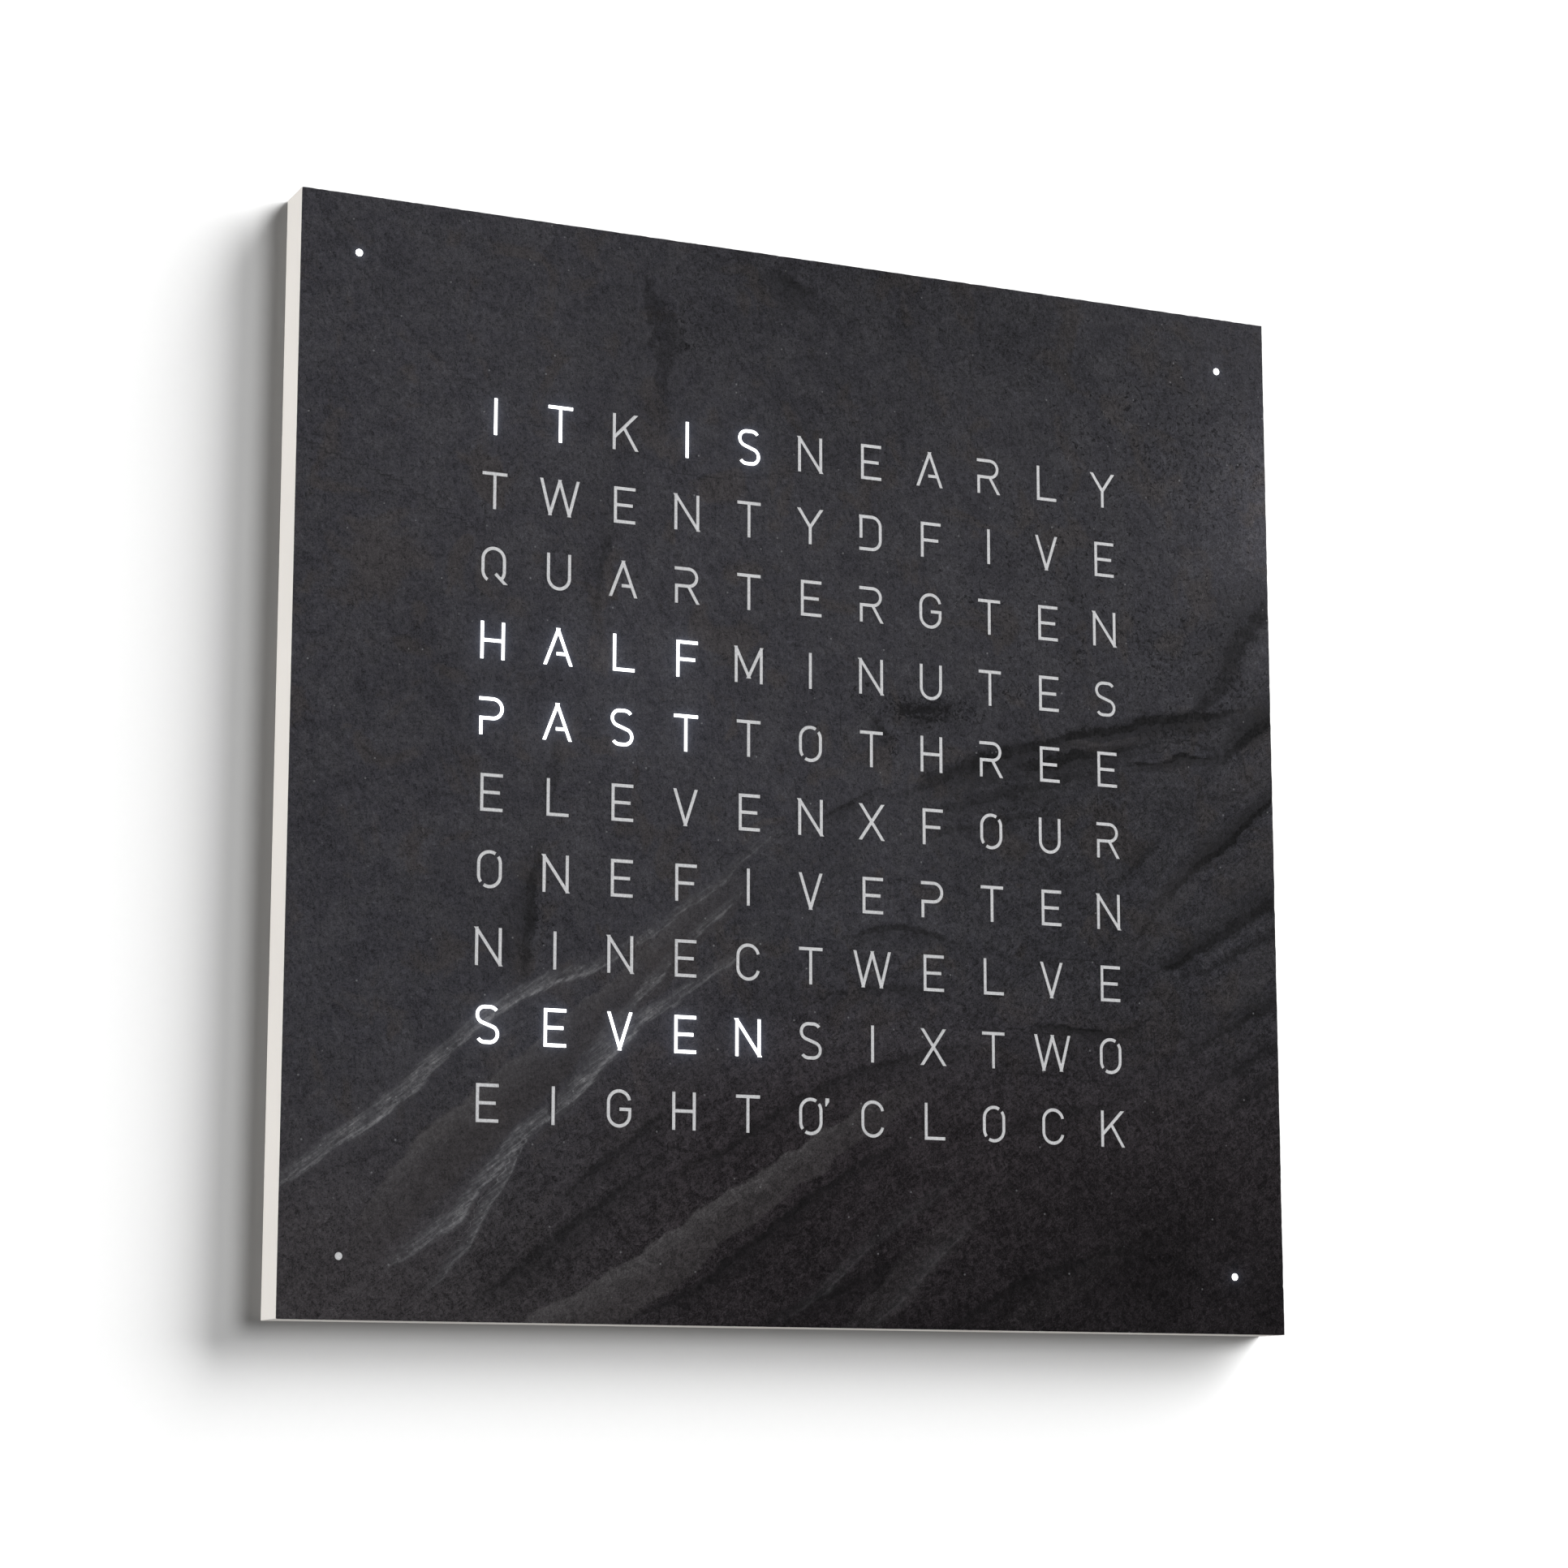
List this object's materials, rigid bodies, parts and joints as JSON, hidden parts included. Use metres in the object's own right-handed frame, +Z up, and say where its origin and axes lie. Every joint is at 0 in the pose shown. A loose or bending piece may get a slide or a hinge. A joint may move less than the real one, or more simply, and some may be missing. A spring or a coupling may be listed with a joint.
{
  "type": "word clock",
  "caption": "Square wall clock that spells the time in lit letters cut through a split slate face, on a shallow white housing with light cells, boards, setting buttons and keyhole hangers.",
  "frame": {"origin": "middle of the rear plane, which lies against the wall", "axes": "+Z up, +X to the right of a viewer, +Y into the wall; the face looks along -Y"},
  "size_m": [0.45, 0.02, 0.45],
  "materials": {
    "slate": "split, matt, fine cleft relief",
    "opal_film": "translucent, satin",
    "carrier_steel": "cold rolled, satin",
    "frame_white": "smooth satin coat",
    "panel_grey": "fine textured coat",
    "zinc_steel": "zinc plated",
    "pad_rubber": "matt",
    "grommet_rubber": "satin",
    "board_white": "solder mask, satin",
    "board_green": "solder mask, gloss",
    "led_body": "moulded",
    "grid_white": "moulded, matt",
    "chip_black": "moulded epoxy",
    "can_aluminium": "drawn can",
    "terminal_plastic": "moulded",
    "holder_black": "moulded",
    "cell_steel": "nickel plated",
    "connector_black": "moulded",
    "ribbon_grey": "flat cable jacket",
    "ferrite": "sintered, matt",
    "coil_copper": "enamelled wire",
    "clip_white": "moulded",
    "lead_jacket": "cable jacket",
    "spacer_brass": "turned",
    "seat_black": "moulded",
    "magnet_nickel": "nickel plated",
    "key_white": "moulded, satin",
    "plunger_black": "moulded"
  },
  "bodies": {
    "housing": {"frame_left": "frame_white", "frame_right": "frame_white", "frame_top": "frame_white", "frame_bottom": "frame_white", "corner_brackets": "zinc_steel", "back_panel": "panel_grey", "panel_screws": "zinc_steel", "wall_pads": "pad_rubber", "keyhole_plates": "zinc_steel", "plate_rivets": "zinc_steel", "cable_grommet": "grommet_rubber", "led_board": "board_white", "letter_leds": "led_body", "baffle_grid": "grid_white", "corner_boards": "board_white", "minute_leds": "led_body", "light_tubes": "grid_white", "board_standoffs": "spacer_brass", "board_screws": "zinc_steel", "controller_board": "board_green", "microcontroller": "chip_black", "driver_chips": "chip_black", "capacitors": "can_aluminium", "voltage_regulator": "chip_black", "power_terminal": "terminal_plastic", "terminal_screws": "zinc_steel", "cell_holder": "holder_black", "coin_cell": "cell_steel", "ribbon_connectors": "connector_black", "ribbon_cable": "ribbon_grey", "receiver_board": "board_green", "receiver_chip": "chip_black", "ferrite_rod": "ferrite", "antenna_coil": "coil_copper", "rod_clips": "clip_white", "signal_leads": "lead_jacket", "button_bracket": "zinc_steel", "button_board": "board_green", "button_switches": "holder_black", "magnet_posts": "seat_black", "holding_magnets": "magnet_nickel"},
    "front_cover": {"slate_face": "slate", "diffuser_sheet": "opal_film", "carrier_plate": "carrier_steel"},
    "mode_key": {"button_mode": "key_white", "plunger_mode": "plunger_black"},
    "hours_key": {"button_hours": "key_white", "plunger_hours": "plunger_black"},
    "minutes_key": {"button_minutes": "key_white", "plunger_minutes": "plunger_black"},
    "brightness_key": {"button_brightness": "key_white", "plunger_brightness": "plunger_black"}
  },
  "joints": [
    {"name": "cover_pull", "type": "slide", "parent": "housing", "child": "front_cover", "axis": [0, -1, 0], "range_m": [0, 0.06]},
    {"name": "mode_press", "type": "slide", "parent": "housing", "child": "mode_key", "axis": [-1, 0, 0], "range_m": [0, 0.0005], "stiffness_N_per_m": 600, "springref_m": -0.002},
    {"name": "hours_press", "type": "slide", "parent": "housing", "child": "hours_key", "axis": [-1, 0, 0], "range_m": [0, 0.0005], "stiffness_N_per_m": 600, "springref_m": -0.002},
    {"name": "minutes_press", "type": "slide", "parent": "housing", "child": "minutes_key", "axis": [-1, 0, 0], "range_m": [0, 0.0005], "stiffness_N_per_m": 600, "springref_m": -0.002},
    {"name": "brightness_press", "type": "slide", "parent": "housing", "child": "brightness_key", "axis": [-1, 0, 0], "range_m": [0, 0.0005], "stiffness_N_per_m": 600, "springref_m": -0.002}
  ]
}
